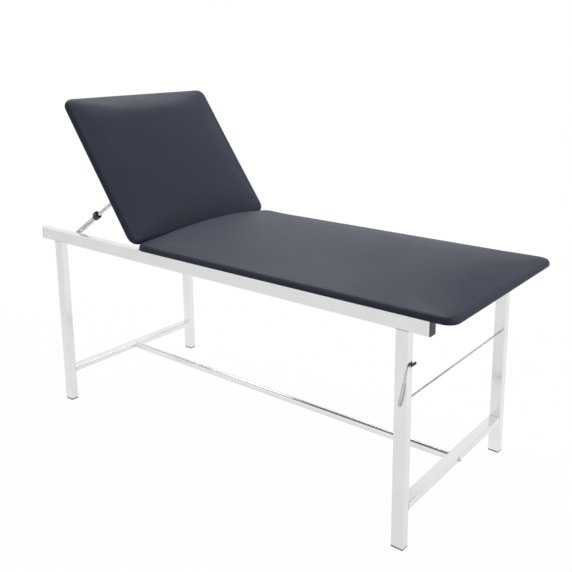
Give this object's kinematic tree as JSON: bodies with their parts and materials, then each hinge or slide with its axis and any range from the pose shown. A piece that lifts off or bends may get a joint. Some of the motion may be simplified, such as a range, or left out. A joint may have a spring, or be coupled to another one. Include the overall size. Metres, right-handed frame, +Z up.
{
  "type": "examination couch",
  "caption": "Two-section examination couch on a welded steel tube frame, with a seat pad, a tilting backrest held by two ratchet struts, and a paper roll rod between the foot legs.",
  "frame": {"origin": "on the floor under the middle of the couch's bounding box, backrest raised", "axes": "+X to the foot end, -Y to the side with the crank of the paper roll rod, +Z up"},
  "size_m": [1.786, 0.7093, 1.2184],
  "materials": {
    "chromed_steel": "polished chrome over steel tube",
    "bracket_steel": "zinc-plated pressed steel",
    "zinc_steel": "bright zinc fasteners",
    "black_plastic": "black moulded plastic",
    "grey_plastic": "light grey moulded plastic",
    "plywood": "birch plywood",
    "upholstery": "anthracite coated upholstery cloth over foam"
  },
  "bodies": {
    "root": {"centre_tube": "chromed_steel", "far_foot_glide": "grey_plastic", "far_foot_leg": "chromed_steel", "far_foot_rail_cap": "black_plastic", "far_head_glide": "grey_plastic", "far_head_leg": "chromed_steel", "far_head_rail_cap": "black_plastic", "far_hinge_bracket": "bracket_steel", "far_hinge_pin": "zinc_steel", "far_rail": "chromed_steel", "far_strut_bracket": "bracket_steel", "far_strut_pin": "zinc_steel", "foot_cross_tube": "chromed_steel", "foot_crossbar": "chromed_steel", "foot_tube_bolt": "zinc_steel", "foot_tube_insert": "zinc_steel", "head_crossbar": "chromed_steel", "head_tube_bolt": "zinc_steel", "head_tube_insert": "zinc_steel", "hinge_cross_tube": "chromed_steel", "middle_cross_tube": "chromed_steel", "near_foot_glide": "grey_plastic", "near_foot_leg": "chromed_steel", "near_foot_rail_cap": "black_plastic", "near_head_glide": "grey_plastic", "near_head_leg": "chromed_steel", "near_head_rail_cap": "black_plastic", "near_hinge_bracket": "bracket_steel", "near_hinge_pin": "zinc_steel", "near_rail": "chromed_steel", "near_strut_bracket": "bracket_steel", "near_strut_pin": "zinc_steel", "seat_board": "plywood", "seat_pad": "upholstery", "seat_screws": "zinc_steel"},
    "back": {"back_board": "plywood", "back_bracket_screws": "zinc_steel", "back_pad": "upholstery", "far_hinge_leaf": "bracket_steel", "far_strut_clevis": "bracket_steel", "far_strut_rivet": "zinc_steel", "near_hinge_leaf": "bracket_steel", "near_strut_clevis": "bracket_steel", "near_strut_rivet": "zinc_steel"},
    "near_strut": {"near_strut_collar": "black_plastic", "near_strut_tube": "chromed_steel"},
    "far_strut": {"far_strut_collar": "black_plastic", "far_strut_tube": "chromed_steel"},
    "near_rod": {"near_strut_rod": "chromed_steel"},
    "far_rod": {"far_strut_rod": "chromed_steel"},
    "near_lever": {"near_strut_lever": "black_plastic"},
    "far_lever": {"far_strut_lever": "black_plastic"},
    "roll_slider": {"roll_rod_washer": "zinc_steel"},
    "roll_crank": {"roll_rod": "chromed_steel", "roll_rod_sleeve": "black_plastic"}
  },
  "joints": [
    {"name": "back_tilt", "type": "hinge", "parent": "root", "child": "back", "pos_m": [-0.345, 0, 0.705], "axis": [0, 1, 0], "range_deg": [-54.5, 0]},
    {"name": "near_strut_swing", "type": "hinge", "parent": "root", "child": "near_strut", "pos_m": [-0.7464, -0.298, 0.685], "axis": [0, 1, 0], "range_deg": [-0.1, 33.8]},
    {"name": "near_strut_slide", "type": "slide", "parent": "near_strut", "child": "near_rod", "axis": [0.832, 0, 0.5548], "range_m": [-0.12416, 0.0002]},
    {"name": "near_lever_press", "type": "hinge", "parent": "near_strut", "child": "near_lever", "pos_m": [-0.60949, -0.298, 0.79241], "axis": [0, 1, 0], "range_deg": [-6, 0], "stiffness_Nm_per_rad": 0.5, "springref_deg": 2.86},
    {"name": "far_strut_swing", "type": "hinge", "parent": "root", "child": "far_strut", "pos_m": [-0.7464, 0.298, 0.685], "axis": [0, 1, 0], "range_deg": [-0.1, 33.8]},
    {"name": "far_strut_slide", "type": "slide", "parent": "far_strut", "child": "far_rod", "axis": [0.832, 0, 0.5548], "range_m": [-0.12416, 0.0002]},
    {"name": "far_lever_press", "type": "hinge", "parent": "far_strut", "child": "far_lever", "pos_m": [-0.60949, 0.298, 0.79241], "axis": [0, 1, 0], "range_deg": [-6, 0], "stiffness_Nm_per_rad": 0.5, "springref_deg": 2.86},
    {"name": "roll_rod_slide", "type": "slide", "parent": "root", "child": "roll_slider", "axis": [0, -1, 0], "range_m": [0, 0.6]},
    {"name": "roll_rod_turn", "type": "hinge", "parent": "roll_slider", "child": "roll_crank", "pos_m": [0.738, 0, 0.445], "axis": [0, 1, 0], "range_deg": [0, 155.2]}
  ],
  "couplings": [
    {"joint": "near_strut_swing", "follows": "back_tilt", "ratio": -0.61833},
    {"joint": "near_strut_slide", "follows": "back_tilt", "m_per_rad": 0.13032},
    {"joint": "far_strut_swing", "follows": "back_tilt", "ratio": -0.61833},
    {"joint": "far_strut_slide", "follows": "back_tilt", "m_per_rad": 0.13032}
  ]
}
